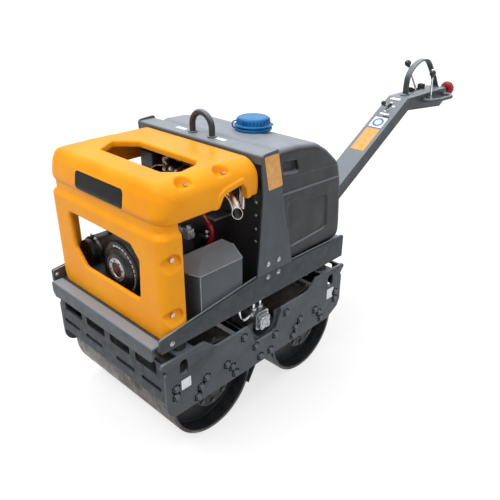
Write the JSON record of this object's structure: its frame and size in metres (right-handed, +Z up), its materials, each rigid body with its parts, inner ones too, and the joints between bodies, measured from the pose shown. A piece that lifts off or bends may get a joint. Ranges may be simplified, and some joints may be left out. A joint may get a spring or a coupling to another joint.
{
  "type": "walk behind vibratory roller",
  "caption": "Pedestrian double-drum compaction roller with a central exciter, yellow moulded engine covers, rear water tank and folding steering arm.",
  "frame": {"origin": "ground level, at the middle of the whole length and width", "axes": "+Y to the rear along the steering arm, +Z up, +X to the side with the grey box and the tailpipe"},
  "size_m": [0.72, 2.5696, 1.1685],
  "materials": {
    "frame_paint": "grey powder coat",
    "drum_steel": "rolled steel, scuffed and stained",
    "dark_steel": "dark machined steel",
    "bearing_steel": "ground steel",
    "zinc_bolts": "zinc plated",
    "rubber": "matt black rubber",
    "aluminium": "cast aluminium",
    "pipe_steel": "chromed steel",
    "black_sheet": "black paint",
    "yellow_plastic": "rotomoulded polyethylene, amber yellow",
    "grey_plastic": "rotomoulded polyethylene, dark grey",
    "strainer_plastic": "moulded strainer, off-white",
    "blue_plastic": "moulded blue plastic",
    "red_plastic": "moulded red plastic"
  },
  "bodies": {
    "machine": {"side_plate_right": "frame_paint", "side_plate_left": "frame_paint", "front_cross_plate": "frame_paint", "rear_cross_plate": "frame_paint", "front_stub_axles": "dark_steel", "rear_stub_axles": "dark_steel", "drive_motors": "dark_steel", "inner_scrapers": "dark_steel", "outer_scrapers": "frame_paint", "plate_bolts": "frame_paint", "rubber_mounts": "rubber", "exciter_housing": "frame_paint", "exciter_bearings": "bearing_steel", "vibration_motor": "aluminium", "hydraulic_pipes": "pipe_steel", "deck": "frame_paint", "rail_right": "frame_paint", "rail_left": "frame_paint", "front_channel": "frame_paint", "rear_cross_member": "frame_paint", "post_right": "frame_paint", "post_left": "frame_paint", "top_bridge": "frame_paint", "lifting_eye": "frame_paint", "bulkhead": "black_sheet", "frame_bolts": "zinc_bolts", "front_guard": "yellow_plastic", "top_hood": "yellow_plastic", "hood_screws": "zinc_bolts", "side_box": "grey_plastic", "water_tank": "grey_plastic", "filler_strainer": "strainer_plastic", "spray_bars": "rubber", "crankcase": "black_sheet", "fan_shroud": "black_sheet", "recoil_starter": "black_sheet", "cylinder": "aluminium", "rocker_cover": "aluminium", "air_filter": "black_sheet", "muffler": "pipe_steel", "hydraulic_pump": "dark_steel", "pivot_pin": "bearing_steel"},
    "front_drum": {"front_drum": "drum_steel", "front_hubs": "dark_steel", "front_bearings": "bearing_steel"},
    "rear_drum": {"rear_drum": "drum_steel", "rear_hubs": "dark_steel", "rear_bearings": "bearing_steel"},
    "exciter_shaft": {"exciter_shaft": "bearing_steel"},
    "crankshaft": {"crankshaft": "bearing_steel", "flywheel": "dark_steel"},
    "tank_cap": {"tank_cap": "blue_plastic"},
    "steering_arm": {"steering_arm": "frame_paint", "guard_hoop": "frame_paint", "grip_bars": "frame_paint", "stop_housing": "black_sheet"},
    "travel_lever": {"travel_lever": "pipe_steel"},
    "vibration_lever": {"vibration_lever": "pipe_steel"},
    "throttle_lever": {"throttle_lever": "pipe_steel"},
    "stop_button": {"stop_button": "red_plastic"}
  },
  "joints": [
    {"name": "front_drum_spin", "type": "hinge", "parent": "machine", "child": "front_drum", "pos_m": [0, -1.0188, 0.2], "axis": [1, 0, 0], "continuous": true},
    {"name": "rear_drum_spin", "type": "hinge", "parent": "machine", "child": "rear_drum", "pos_m": [0, -0.4828, 0.2], "axis": [1, 0, 0], "continuous": true},
    {"name": "exciter_spin", "type": "hinge", "parent": "machine", "child": "exciter_shaft", "pos_m": [0, -0.7508, 0.3701], "axis": [1, 0, 0], "continuous": true},
    {"name": "crank_spin", "type": "hinge", "parent": "machine", "child": "crankshaft", "pos_m": [0, -0.7668, 0.64], "axis": [0, 1, 0], "continuous": true},
    {"name": "cap_turn", "type": "hinge", "parent": "machine", "child": "tank_cap", "pos_m": [0.06, -0.5282, 1.05284], "axis": [0, 0, 1], "range_deg": [0, 90]},
    {"name": "arm_fold", "type": "hinge", "parent": "machine", "child": "steering_arm", "pos_m": [0, -0.1508, 0.45476], "axis": [1, 0, 0], "range_deg": [0, 56]},
    {"name": "travel_lever_tilt", "type": "hinge", "parent": "steering_arm", "child": "travel_lever", "pos_m": [-0.0362, 0.97776, 0.94567], "axis": [1, 0, 0], "range_deg": [-12, 12]},
    {"name": "vibration_lever_tilt", "type": "hinge", "parent": "steering_arm", "child": "vibration_lever", "pos_m": [0.059, 0.92407, 0.96064], "axis": [1, 0, 0], "range_deg": [-20, 20]},
    {"name": "throttle_lever_tilt", "type": "hinge", "parent": "steering_arm", "child": "throttle_lever", "pos_m": [-0.01003, 0.6283, 0.91552], "axis": [1, 0, 0], "range_deg": [-50, 2]},
    {"name": "stop_button_press", "type": "slide", "parent": "steering_arm", "child": "stop_button", "axis": [0, -1, 0], "range_m": [0, 0.012], "stiffness_N_per_m": 600}
  ],
  "couplings": [
    {"joint": "rear_drum_spin", "follows": "front_drum_spin", "ratio": 1}
  ]
}
